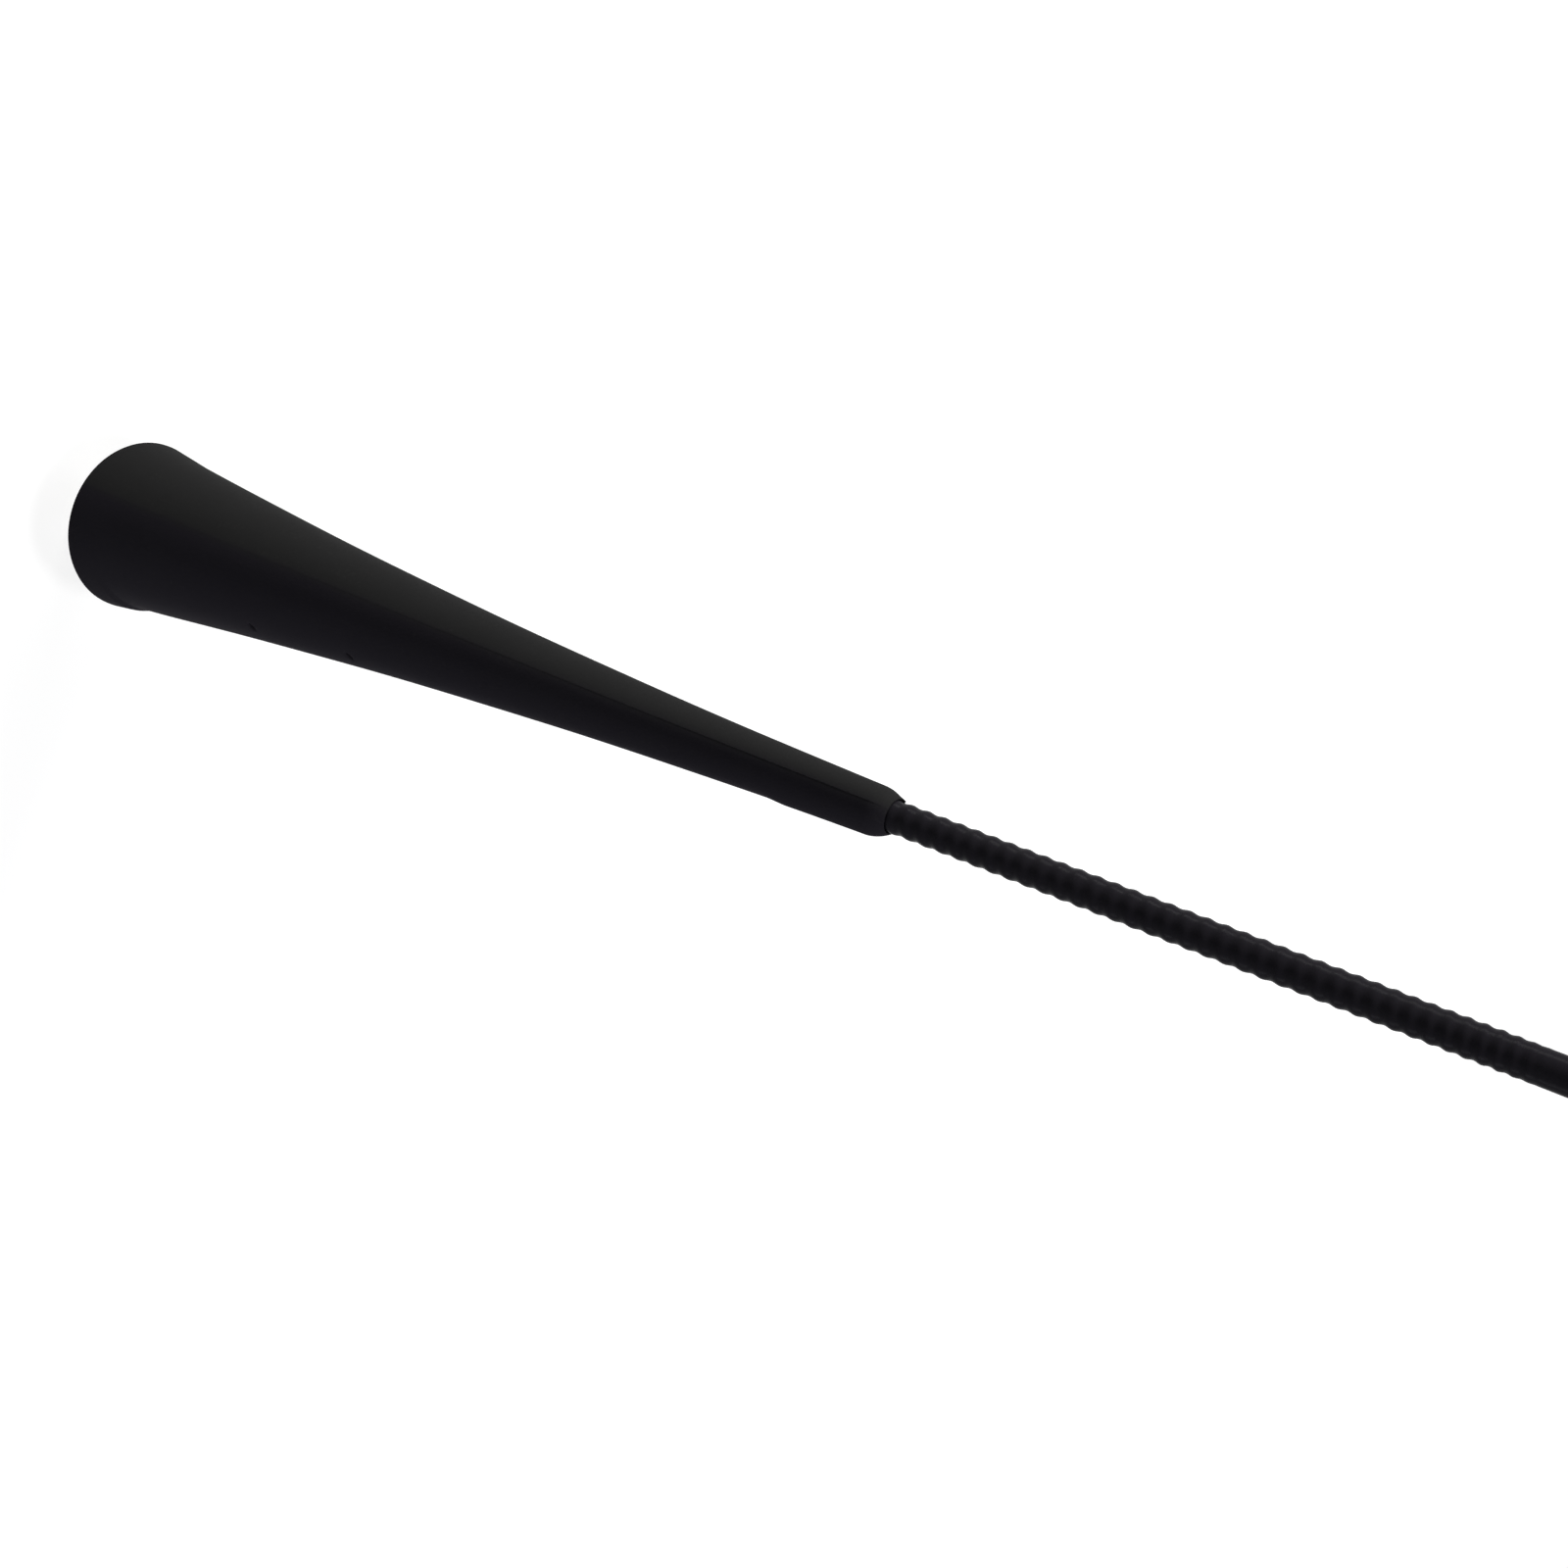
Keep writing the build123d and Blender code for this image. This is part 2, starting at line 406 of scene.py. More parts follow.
def winding_tree(climb_group):
    """Wire that climbs with the ribs in open turns, and then lies turn on turn up to the tip."""
    lengths = numbers("Lead Foot", "Hidden Turns", "Wound Pitch", "Wound Top", "Coil Radius", "Wire Radius")
    inputs = {**spiral_inputs, **lengths, "Points Per Turn": WHOLE, "Wire Sides": WHOLE}
    tree, given, result = shape_tree("wound wire", inputs)
    open_top = climb(tree, climb_group, given, given["Turns"])
    wound = calc(tree, "DIVIDE", calc(tree, "SUBTRACT", given["Wound Top"], open_top), given["Wound Pitch"])
    all_turns = calc(tree, "ADD", calc(tree, "ADD", given["Hidden Turns"], given["Turns"]), wound)
    points = calc(tree, "FLOOR", calc(tree, "MULTIPLY", all_turns, given["Points Per Turn"]))
    line = add(tree, "GeometryNodeCurvePrimitiveLine").outputs[0]
    line = add(tree, "GeometryNodeResampleCurve", {"Curve": line, "Count": points}).outputs[0]

    # Point 0 is the foot of the bare lead, straight under the first turn
    index = add(tree, "GeometryNodeInputIndex").outputs[0]
    is_lead = calc(tree, "LESS_THAN", index, 0.5)
    passed = calc(tree, "DIVIDE", calc(tree, "SUBTRACT", index, 1.0), given["Points Per Turn"])
    turn = calc(tree, "SUBTRACT", passed, given["Hidden Turns"])
    height = climb(tree, climb_group, given, calc(tree, "MINIMUM", turn, given["Turns"]))
    over = calc(tree, "MAXIMUM", calc(tree, "SUBTRACT", turn, given["Turns"]), 0.0)
    height = calc(tree, "ADD", height, calc(tree, "MULTIPLY", over, given["Wound Pitch"]))
    height = pick(tree, is_lead, given["Lead Foot"], height)
    angle = calc(tree, "MULTIPLY", turn, FULL_TURN)
    angle = calc(tree, "MULTIPLY", angle, calc(tree, "SUBTRACT", 1.0, is_lead))
    x, y = off_axis(tree, given["Coil Radius"], angle)
    place = join_xyz(tree, x, y, height)
    path = add(tree, "GeometryNodeSetPosition", {"Geometry": line, "Position": place}).outputs[0]
    inputs = {"Resolution": given["Wire Sides"], "Radius": given["Wire Radius"]}
    section = add(tree, "GeometryNodeCurvePrimitiveCircle", inputs).outputs[0]
    inputs = {"Curve": path, "Profile Curve": section, "Fill Caps": True}
    wire = add(tree, "GeometryNodeCurveToMesh", inputs).outputs[0]
    return finish_tree(tree, wire, given, result)


def thread_tree():
    """A right-hand thread: one tapered ridge swept up a helix, which runs out at both ends."""
    lengths = numbers(
        "Bottom", "Length", "Pitch", "Root Radius", "Depth", "Root Width", "Crest Width", "Run Out"
    )
    tree, given, result = shape_tree("stud thread", {**lengths, "Points Per Turn": WHOLE})
    turns = calc(tree, "DIVIDE", given["Length"], given["Pitch"])
    inputs = {
        "Resolution": given["Points Per Turn"],
        "Rotations": turns,
        "Start Radius": given["Root Radius"],
        "End Radius": given["Root Radius"],
        "Height": given["Length"],
        "Reverse": True,
    }
    helix = add(tree, "GeometryNodeCurveSpiral", inputs).outputs[0]
    upright = add(tree, "GeometryNodeSetCurveNormal", {"Curve": helix}, mode="Z_UP").outputs[0]
    inputs = {
        "Height": given["Depth"],
        "Bottom Width": given["Root Width"],
        "Top Width": given["Crest Width"],
        "Offset": 0.0,
    }
    ridge = add(tree, "GeometryNodeCurvePrimitiveQuadrilateral", inputs, mode="TRAPEZOID").outputs[0]
    outward = join_xyz(tree, calc(tree, "MULTIPLY", given["Depth"], 0.5), 0.0, 0.0)
    inputs = {"Geometry": ridge, "Translation": outward, "Rotation": (0, 0, -math.pi / 2)}
    ridge = add(tree, "GeometryNodeTransform", inputs).outputs[0]
    along = calc(tree, "MULTIPLY", add(tree, "GeometryNodeSplineParameter").outputs["Factor"], turns)
    ends = calc(tree, "MINIMUM", along, calc(tree, "SUBTRACT", turns, along))
    taper = calc(tree, "MINIMUM", calc(tree, "DIVIDE", ends, given["Run Out"]), 1.0)
    taper = calc(tree, "MAXIMUM", taper, thread_end_share)
    inputs = {"Curve": upright, "Profile Curve": ridge, "Scale": taper, "Fill Caps": True}
    swept = add(tree, "GeometryNodeCurveToMesh", inputs).outputs[0]
    upward = join_xyz(tree, 0.0, 0.0, given["Bottom"])
    raised = add(tree, "GeometryNodeTransform", {"Geometry": swept, "Translation": upward}).outputs[0]
    return finish_tree(tree, raised, given, result)


def grown_mesh(tree, sizes):
    """Run a geometry tree with these sizes, and give what it makes as a plain mesh."""
    seed = bpy.data.objects.new("seed", bpy.data.meshes.new("seed"))
    bpy.context.scene.collection.objects.link(seed)
    modifier = seed.modifiers.new("grow", "NODES")
    modifier.node_group = tree
    for socket in tree.interface.items_tree:
        if socket.in_out == "INPUT":
            modifier[socket.identifier] = sizes[socket.name]
    depsgraph = bpy.context.evaluated_depsgraph_get()
    mesh = bpy.data.meshes.new_from_object(seed.evaluated_get(depsgraph))
    bpy.data.objects.remove(seed)
    return mesh


# Turned pieces

def rounded(corners):
    """A line of radius and height through corners, each with the radius of its rounding."""
    points = [corners[0][:2]]
    for before, corner, after in zip(corners, corners[1:], corners[2:]):
        here = np.array(corner[:2])
        back = np.array(before[:2]) - here
        on = np.array(after[:2]) - here
        back /= np.linalg.norm(back)
        on /= np.linalg.norm(on)
        half = math.acos(np.clip(back @ on, -1, 1)) / 2
        if corner[2] == 0 or half > straight_corner:
            points.append(tuple(here))
            continue
        middle = here + (back + on) / np.linalg.norm(back + on) * corner[2] / math.sin(half)
        start = here + back * corner[2] / math.tan(half) - middle
        end = here + on * corner[2] / math.tan(half) - middle
        for share in np.linspace(0, 1, rounding_points):
            spoke = start * (1 - share) + end * share
            points.append(tuple(middle + spoke / np.linalg.norm(spoke) * corner[2]))
    points.append(corners[-1][:2])
    return points


def arc_between(start, heading, end, steps):
    """An arc that leaves a point in a direction and ends at another point."""
    start = np.array(start)
    across = np.array((-heading[1], heading[0]))
    chord = np.array(end) - start
    swing = chord @ chord / (2 * (chord @ across))
    middle = start + across * swing
    first = math.atan2(*(start - middle)[::-1])
    sweep = math.atan2(*(np.array(end) - middle)[::-1]) - first
    sweep = (sweep + math.pi) % FULL_TURN - math.pi
    angles = first + sweep * np.linspace(0, 1, steps)
    return [tuple(middle + abs(swing) * np.array((math.cos(a), math.sin(a)))) for a in angles]


def tidy_mesh(mesh, sharp_angle=sharp_edge):
    """Weld the mesh, turn its faces outwards, and shade it smooth but for its edges."""
    work = bmesh.new()
    work.from_mesh(mesh)
    bmesh.ops.remove_doubles(work, verts=work.verts, dist=weld_reach)
    bmesh.ops.dissolve_degenerate(work, edges=work.edges, dist=sliver_length)
    bmesh.ops.recalc_face_normals(work, faces=work.faces)
    for face in work.faces:
        face.smooth = True
    for edge in work.edges:
        edge.smooth = edge.calc_face_angle(0.0) < sharp_angle
    work.to_mesh(mesh)
    work.free()
    return mesh


def turned_mesh(name, outline, angles, mould=None):
    """Turn an outline of radius and height about the mast. Its ends meet each other, or meet on the axis."""
    outline = np.array(outline)
    angle, radius = np.meshgrid(angles, outline[:, 0], indexing="ij")
    height = np.broadcast_to(outline[:, 1], radius.shape)
    if mould:
        radius, height = mould(radius, height, angle)
    places = np.stack([radius * np.cos(angle), radius * np.sin(angle), height], axis=-1)
    columns, rows = radius.shape
    faces = []
    for column in range(columns):
        here = column * rows
        beside = (column + 1) % columns * rows
        for row in range(rows):
            above = (row + 1) % rows
            faces.append((here + row, beside + row, beside + above, here + above))
    mesh = bpy.data.meshes.new(name)
    mesh.from_pydata(places.reshape(-1, 3).tolist(), [], faces)
    return tidy_mesh(mesh)


def even_angles(count):
    """Angles spread evenly round the mast."""
    return np.arange(count) * FULL_TURN / count


def fine_steps(middles, offsets):
    """Extra places close about each middle, on both sides of it."""
    return np.concatenate([middle + side * np.array(offsets) for middle in middles for side in (-1, 1)])


# Flared boot

def flare_centre():
    """Middle of the long hollow curve from the waist to the neck, as radius and height."""
    start = np.array((waist_radius, waist_height))
    chord = np.array((neck_radius, boot_top - neck_round)) - start
    length = np.linalg.norm(chord)
    outward = np.array((chord[1], -chord[0])) / length
    return start + chord / 2 + outward * math.sqrt(flare_radius**2 - length**2 / 4)


def flare_at(height):
    """Radius of the flare at a height."""
    middle = flare_centre()
    return middle[0] - np.sqrt(flare_radius**2 - (height - middle[1]) ** 2)


def shank_outline():
    """Side of the ferrule's shank from its top to the edge of its flange."""
    side = [(shank_radius - shank_chamfer, shank_top, 0), (shank_radius, shank_top - shank_chamfer, 0)]
    for middle in groove_middles:
        side += [
            (shank_radius, middle + groove_half, 0),
            (groove_floor, middle + groove_half, 0),
            (groove_floor, middle - groove_half, 0),
            (shank_radius, middle - groove_half, 0),
        ]
    return side + [(shank_radius, shank_base, 0), (flange_radius, shank_base, 0)]


def boot_outline():
    """Half section of the boot, and for each of its points if it lies on the outside."""
    rows = np.linspace(waist_height, boot_top - neck_round, flare_rows)
    marks = fine_steps([height for height, angle in nicks], nick_rows)
    steps = fine_steps([neck_step_height], neck_step_rows)
    rows = np.unique(np.round(np.concatenate([rows, marks, steps]), row_digits))
    flare = list(zip(flare_at(rows), rows))
    heading = np.array(flare[-1]) - np.array(flare[-2])
    mouth = (neck_bore + neck_chamfer, boot_top)
    neck = arc_between(flare[-1], heading / np.linalg.norm(heading), mouth, neck_rows)[1:]
    inside = [
        (neck_bore + neck_chamfer, boot_top, 0),
        (neck_bore, boot_top - neck_chamfer, 0),
        (neck_bore, solder_top, 0),
        (solder_top_radius, solder_top, 0),
        (solder_radius, shank_top, 0),
        *shank_outline(),
        (flange_radius, recess_depth, 0),
        (recess_radius, recess_depth, recess_corner_round),
        (recess_radius, 0, recess_edge_round),
        (rim_radius + rim_overrun, 0, rim_round),
        (waist_radius, waist_height, 0),
    ]
    inside = rounded(inside)
    foot, waist = np.array(inside[-2]), np.array(inside[-1])
    skirt = [tuple(foot + (waist - foot) * share) for share in np.linspace(0, 1, skirt_rows)[1:-1]]
    outside = [True] * len(flare + neck) + [False] * len(inside[1:-1]) + [True] * len(skirt)
    return flare + neck + inside[1:-1] + skirt, np.array(outside)


def round_from(angle, line):
    """How far an angle lies from a line along the mast, between half a turn back and half a turn on."""
    return (angle - line + math.pi) % FULL_TURN - math.pi


def hump(angle, middle, spread):
    """1 at an angle round the mast, dying away on both sides of it."""
    return np.exp(-((round_from(angle, middle) / spread) ** 2))


def boot_skin(radius, height, angle, outside):
    """Give the outside of the turned boot the marks of its mould and of use."""
    push = np.zeros_like(radius)
    ridge = np.interp(height, ridge_grows, (foot_ridge, neck_ridge))
    for line, upward in ((front_line, -1), (back_line, 1)):
        run = round_from(angle, line) * radius
        crest = np.where(run * upward > -line_slack, ridge, ridge * (1 - ledge_share))
        push += crest * np.exp(-abs(run) / ridge_run)
    low = hump(angle, lower_side, step_spread)
    at_rim = np.clip((rim_step_height - height) / rim_step_length + 0.5, 0, 1)
    above_rim = (1 - at_rim) * np.exp(-np.clip(height - rim_step_height, 0, None) / rim_hollow_length)
    at_rim *= np.clip(height / rim_step_height, 0, 1)
    at_neck = np.clip((height - neck_step_height) / neck_step_length + 0.5, 0, 1)
    push += low * (rim_step * at_rim - rim_hollow * above_rim + neck_step * at_neck)
    for nick_height, nick_angle in nicks:
        along = (height - nick_height) / nick_length
        across = round_from(angle, nick_angle) * radius / nick_width
        push -= nick_depth * np.exp(-((along - nick_slant * across) ** 2) - across**2)
    settle = np.clip(height / wobble_settle, 0, 1)
    climbing = np.sin(wobble_climb_lobes * angle + height / wobble_climb)
    crossing = np.cos(wobble_cross_lobes * angle - height / wobble_cross)
    push += wobble * settle * climbing * crossing
    push *= np.clip((boot_top - height) / neck_round, 0, 1)
    spur = spur_height * hump(angle, spur_angle, spur_spread)
    mouth = np.clip((height - boot_top + spur_root) / spur_root, 0, 1)
    return radius + push * outside, height + spur * mouth * outside


def boot_mesh():
    """The boot, with closer columns at the parting lines, the nicks and the spur."""
    lines = fine_steps([front_line, back_line], line_columns)
    marks = fine_steps([nick[1] for nick in nicks] + [spur_angle], mark_columns)
    angles = np.concatenate([even_angles(boot_columns), lines % FULL_TURN, marks % FULL_TURN])
    outline, outside = boot_outline()
    mould = functools.partial(boot_skin, outside=outside)
    return turned_mesh("flared_boot_skin", outline, np.unique(np.round(angles, column_digits)), mould)


# Ferrule, sheath, winding and cap

def ferrule_mesh(material):
    """Turned ferrule, with a cut thread on its stud."""
    tip_face = stud_radius - stud_lead_in
    outline = [
        (0, stud_tip, 0),
        (tip_face, stud_tip, stud_tip_round),
        (stud_core, stud_tip + stud_core - tip_face, stud_tip_round),
        (stud_core, 0, 0),
        (relief_radius, relief_slope, 0),
        (relief_radius, shoulder, relief_round),
        (flange_radius, shoulder, flange_round),
        *shank_outline()[::-1],
        (socket_radius, shank_top, socket_round),
        (socket_radius, socket_floor, 0),
        (0, socket_floor, 0),
    ]
    body = turned_mesh("threaded_ferrule_turned", rounded(outline), even_angles(ferrule_columns))
    sizes = {
        "Bottom": stud_tip + stud_lead_in / 2,
        "Length": -stud_tip - stud_lead_in / 2 - thread_stop,
        "Pitch": thread_pitch,
        "Root Radius": stud_core - thread_sunk,
        "Depth": stud_radius - stud_core + thread_sunk,
        "Root Width": thread_root,
        "Crest Width": thread_crest,
        "Run Out": thread_run_out,
        "Points Per Turn": thread_points,
        "Material": material,
    }
    work = bmesh.new()
    work.from_mesh(body)
    work.from_mesh(grown_mesh(thread_tree(), sizes))
    work.to_mesh(body)
    work.free()
    return tidy_mesh(body, sharp_thread_edge)


def spiral_sizes(material):
    """The sizes that the sheath's rib and the wire under it share."""
    return {
        "Base": rib_base,
        "Turns": rib_turns,
        "Open Pitch": open_pitch,
        "Close Pitch": close_pitch,
        "Closing Power": closing_power,
        "Material": material,
    }


def sheath_mesh(climb_group, material):
    """Sleeve with its spiral rib."""
    sizes = {
        **spiral_sizes(material),
        "Foot": sheath_foot,
        "Top": mast_top,
        "Radius": sheath_radius,
        "Bore": sheath_bore,
        "Crest Offset": crest_offset,
        "Rise Turns": rise_turns,
        "Fade Turns": fade_turns,
        "Rings Per Turn": sheath_rings,
        "Sides": sheath_sides,
    }
    return tidy_mesh(grown_mesh(sheath_tree(climb_group), sizes))


def winding_mesh(climb_group, material):
    """Copper wire on the core rod."""
    sizes = {
        **spiral_sizes(material),
        "Lead Foot": solder_top,
        "Hidden Turns": hidden_turns,
        "Wound Pitch": wound_pitch,
        "Wound Top": winding_top - wire_radius,
        "Coil Radius": wire_place,
        "Wire Radius": wire_radius,
        "Points Per Turn": wire_points,
        "Wire Sides": wire_sides,
    }
    return tidy_mesh(grown_mesh(winding_tree(climb_group), sizes), sharp_wire_edge)


def cap_mesh():
    """Domed cap, rounded at its lip."""
    wall = rounded(
        [
            (0, mast_top, 0),
            (cap_bore, mast_top, 0),
            (cap_bore, cap_base, cap_bore_round),
            (cap_radius, cap_base, cap_lip),
            (cap_radius, cap_top - cap_radius, 0),
        ]
    )
    swing = np.linspace(0, math.pi / 2, dome_rows)[1:-1]
    dome = zip(cap_radius * np.cos(swing), cap_top - cap_radius + cap_radius * np.sin(swing))
    return turned_mesh("tip_cap_domed", [*wall, *dome, (0, cap_top)], even_angles(cap_columns))


# Shared effects in the materials

def ramp(tree, value, start, end, low=0.0, high=1.0, **settings):
    """A value that goes from low to high while another goes from start to end."""
    inputs = {"Value": value, "From Min": start, "From Max": end, "To Min": low, "To Max": high}
    return add(tree, "ShaderNodeMapRange", inputs, **settings).outputs[0]


def noise(tree, place, size, detail, roughness=0.5):
    """A cloudy value about 0.5, with spots of a size."""
    scale = calc(tree, "DIVIDE", 1.0, size)
    inputs = {"Vector": place, "Scale": scale, "Detail": detail, "Roughness": roughness}
    return add(tree, "ShaderNodeTexNoise", inputs).outputs["Fac"]


def squeezed(tree, place, factors):
    """A place with its x, y and z each multiplied by a factor."""
    return add(tree, "ShaderNodeVectorMath", {0: place, 1: factors}, operation="MULTIPLY").outputs[0]


def grain_group():
    """Fine grain of a moulded or drawn surface, and a slow unevenness of its tone."""
    inputs = numbers("Grain Size", "Patch Size", "Stretch")
    tree, given, result = new_tree("moulded grain", "ShaderNodeTree", inputs, numbers("Height", "Patches"))
    place = add(tree, "ShaderNodeTexCoord").outputs["Object"]
    place = squeezed(tree, place, join_xyz(tree, 1.0, 1.0, calc(tree, "DIVIDE", 1.0, given["Stretch"])))
    fine = noise(tree, place, given["Grain Size"], detail=3.0, roughness=0.6)
    slow = noise(tree, place, given["Patch Size"], detail=5.0, roughness=0.65)
    feed(tree, result.inputs["Height"], fine)
    feed(tree, result.inputs["Patches"], slow)
    return tree


def dust_group():
    """Specks of dust and faint rubbed streaks that run along the mast."""
    inputs = numbers("Speck Size", "Cover")
    tree, given, result = new_tree("handling dust", "ShaderNodeTree", inputs, numbers("Dust"))
    place = add(tree, "ShaderNodeTexCoord").outputs["Object"]
    specks = noise(tree, place, given["Speck Size"], detail=2.0)
    streak_size = calc(tree, "MULTIPLY", given["Speck Size"], 2.0)
    streaks = noise(tree, squeezed(tree, place, streak_squeeze), streak_size, detail=2.0)
    specks = calc(tree, "MULTIPLY", specks, speck_share)
    streaks = calc(tree, "MULTIPLY", streaks, streak_share)
    level = calc(tree, "SUBTRACT", 1.0, given["Cover"])
    dust = ramp(tree, calc(tree, "ADD", specks, streaks), level, calc(tree, "ADD", level, dust_edge))
    feed(tree, result.inputs["Dust"], dust)
    return tree


# Materials

def new_material(name, **constants):
    """A material whose shader has these plain values; gives the material, its tree and its shader."""
    material = bpy.data.materials.new(name)
    material.use_nodes = True
    tree = material.node_tree
    shader = tree.nodes["Principled BSDF"]
    for label, value in constants.items():
        shader.inputs[label.replace("_", " ")].default_value = value
    return material, tree, shader


def effect(tree, group, **inputs):
    """Place a shared effect in a material."""
    named = {label.replace("_", " "): value for label, value in inputs.items()}
    return add(tree, "ShaderNodeGroup", named, node_tree=group).outputs


def blend_colour(tree, share, first, second):
    """Two colours mixed by a share from 0 to 1."""
    inputs = {"Factor": share, MIX_FIRST: first, MIX_SECOND: second}
    return add(tree, "ShaderNodeMix", inputs, data_type="RGBA").outputs[MIX_RESULT]


def spread_over(tree, value, low, high):
    """A noise spread over another range."""
    return ramp(tree, value, noise_low, noise_high, low, high)


def raise_grain(tree, shader, height, strength, depth):
    """Let a height over the surface turn the shader's normal."""
    bump = add(tree, "ShaderNodeBump", {"Strength": strength, "Distance": depth, "Height": height})
    feed(tree, shader.inputs["Normal"], bump.outputs[0])


def object_place(tree):
    """The place on the piece, as x, y and z."""
    place = add(tree, "ShaderNodeTexCoord").outputs["Object"]
    return add(tree, "ShaderNodeSeparateXYZ", {0: place}).outputs


def handled_black(tree, patches, dust, black, pale, patchiness, dustiness):
    """A black that is paler in patches and has some dust on it."""
    patchy = blend_colour(tree, calc(tree, "MULTIPLY", patches, patchiness), black, pale)
    return blend_colour(tree, calc(tree, "MULTIPLY", dust, dustiness), patchy, dust_grey)


def boot_rubber(grain, dust):
    """Satin black rubber. The mould half towards the key light is painted a little paler as painted light,
    and the other half darker and bluer as painted shade.
    """
    material, tree, shader = new_material("boot_rubber", IOR=1.5, Specular_IOR_Level=0.01)
    fine = effect(tree, grain, Grain_Size=0.16 * MM, Patch_Size=7 * MM, Stretch=2.0)
    film = effect(tree, dust, Speck_Size=0.5 * MM, Cover=0.42)
    place = object_place(tree)
    # Painted light and shade: the half of the boot towards the key light takes the paler colour, the shaded
    # half the darker, bluer one
    painted_light_angle = (front_line + back_line) / 2
    side = calc(tree, "MULTIPLY", place["X"], math.cos(painted_light_angle))
    side = calc(tree, "ADD", side, calc(tree, "MULTIPLY", place["Y"], math.sin(painted_light_angle)))
    painted_light_share = ramp(tree, side, -painted_light_edge, painted_light_edge, interpolation_type="SMOOTHSTEP")
    black = blend_colour(tree, painted_light_share, rubber_black_painted_shade, rubber_black_painted_light)
    colour = handled_black(
        tree, fine["Patches"], film["Dust"], black, rubber_pale, patchiness=0.25, dustiness=0.04
    )
    feed(tree, shader.inputs["Base Color"], colour)
    feed(tree, shader.inputs["Roughness"], spread_over(tree, fine["Patches"], low=0.64, high=0.74))
    raise_grain(tree, shader, fine["Height"], strength=0.35, depth=0.03 * MM)
    return material


def sheath_sleeve(grain, dust):
    """Shrunk black sleeve, a little glossier than the boot, with a faint ripple over the close turns."""
    material, tree, shader = new_material("sheath_sleeve", IOR=1.5, Specular_IOR_Level=0.016)
    fine = effect(tree, grain, Grain_Size=0.12 * MM, Patch_Size=5 * MM, Stretch=3.0)
    film = effect(tree, dust, Speck_Size=0.35 * MM, Cover=0.42)
    x, y, z = object_place(tree)
    round_mast = calc(tree, "ARCTAN2", y, x)
    climbed = calc(tree, "DIVIDE", calc(tree, "MULTIPLY", z, FULL_TURN), wound_pitch)
    ripple = calc(tree, "SINE", calc(tree, "SUBTRACT", climbed, round_mast))
    ripple_foot = rib_base + rib_turns * open_pitch - ripple_overlap
    swell = ramp(tree, z, ripple_foot, ripple_foot + ripple_grows, low=0.0, high=ripple_height)
    height = calc(tree, "ADD", fine["Height"], calc(tree, "MULTIPLY", ripple, swell))
    colour = handled_black(
        tree, fine["Patches"], film["Dust"], sleeve_black, sleeve_pale, patchiness=0.3, dustiness=0.03
    )
    feed(tree, shader.inputs["Base Color"], colour)
    feed(tree, shader.inputs["Roughness"], spread_over(tree, fine["Patches"], low=0.22, high=0.28))
    raise_grain(tree, shader, height, strength=0.3, depth=0.02 * MM)
    return material


def cap_plastic(grain, dust):
    """Moulded black plastic of the tip."""
    material, tree, shader = new_material("cap_plastic", IOR=1.5, Specular_IOR_Level=0.04)
    fine = effect(tree, grain, Grain_Size=0.14 * MM, Patch_Size=3 * MM, Stretch=1.0)
    film = effect(tree, dust, Speck_Size=0.4 * MM, Cover=0.45)
    colour = handled_black(
        tree, fine["Patches"], film["Dust"], cap_black, cap_pale, patchiness=0.3, dustiness=0.10
    )
    feed(tree, shader.inputs["Base Color"], colour)
    feed(tree, shader.inputs["Roughness"], spread_over(tree, fine["Patches"], low=0.42, high=0.55))
    raise_grain(tree, shader, fine["Height"], strength=0.3, depth=0.02 * MM)
    return material


def nickel_plate(grain):
    """Bright nickel over turned brass, worn to the brass on the thread's crests."""
    material, tree, shader = new_material("nickel_plate", Metallic=1.0)
    fine = effect(tree, grain, Grain_Size=0.1 * MM, Patch_Size=1.2 * MM, Stretch=0.05)
    x, y, z = object_place(tree)
    squares = calc(tree, "ADD", calc(tree, "MULTIPLY", x, x), calc(tree, "MULTIPLY", y, y))
    crest = ramp(tree, calc(tree, "SQRT", squares), stud_radius - worn_depth, stud_radius)
    on_stud = calc(tree, "LESS_THAN", z, shoulder / 2)
    rubbed = spread_over(tree, fine["Patches"], low=0.0, high=1.0)
    worn = calc(tree, "MULTIPLY", calc(tree, "MULTIPLY", crest, on_stud), rubbed)
    plate = blend_colour(tree, fine["Patches"], nickel_dull, nickel_bright)
    feed(tree, shader.inputs["Base Color"], blend_colour(tree, worn, plate, bare_brass))
    feed(tree, shader.inputs["Roughness"], spread_over(tree, fine["Height"], low=0.2, high=0.36))
    raise_grain(tree, shader, fine["Height"], strength=0.15, depth=0.01 * MM)
    return material


def glass_rod(grain):
    """Drawn glass fibre in pale resin, streaked along the rod."""
    material, tree, shader = new_material("glass_rod", IOR=1.52)
    fine = effect(tree, grain, Grain_Size=0.08 * MM, Patch_Size=0.6 * MM, Stretch=60.0)
    feed(tree, shader.inputs["Base Color"], blend_colour(tree, fine["Patches"], resin_dark, resin_pale))
    feed(tree, shader.inputs["Roughness"], spread_over(tree, fine["Height"], low=0.25, high=0.45))
    raise_grain(tree, shader, fine["Height"], strength=0.2, depth=0.01 * MM)
    return material


def copper_enamel(grain):
    """Copper wire under clear enamel, darker in patches."""
    material, tree, shader = new_material("copper_enamel", Metallic=1.0, Coat_Roughness=0.1)
    fine = effect(tree, grain, Grain_Size=0.06 * MM, Patch_Size=2 * MM, Stretch=1.0)
    feed(tree, shader.inputs["Base Color"], blend_colour(tree, fine["Patches"], copper_dark, copper_bright))
    feed(tree, shader.inputs["Roughness"], spread_over(tree, fine["Height"], low=0.22, high=0.38))
    feed(tree, shader.inputs["Coat Weight"], spread_over(tree, fine["Patches"], low=0.4, high=0.8))
    return material


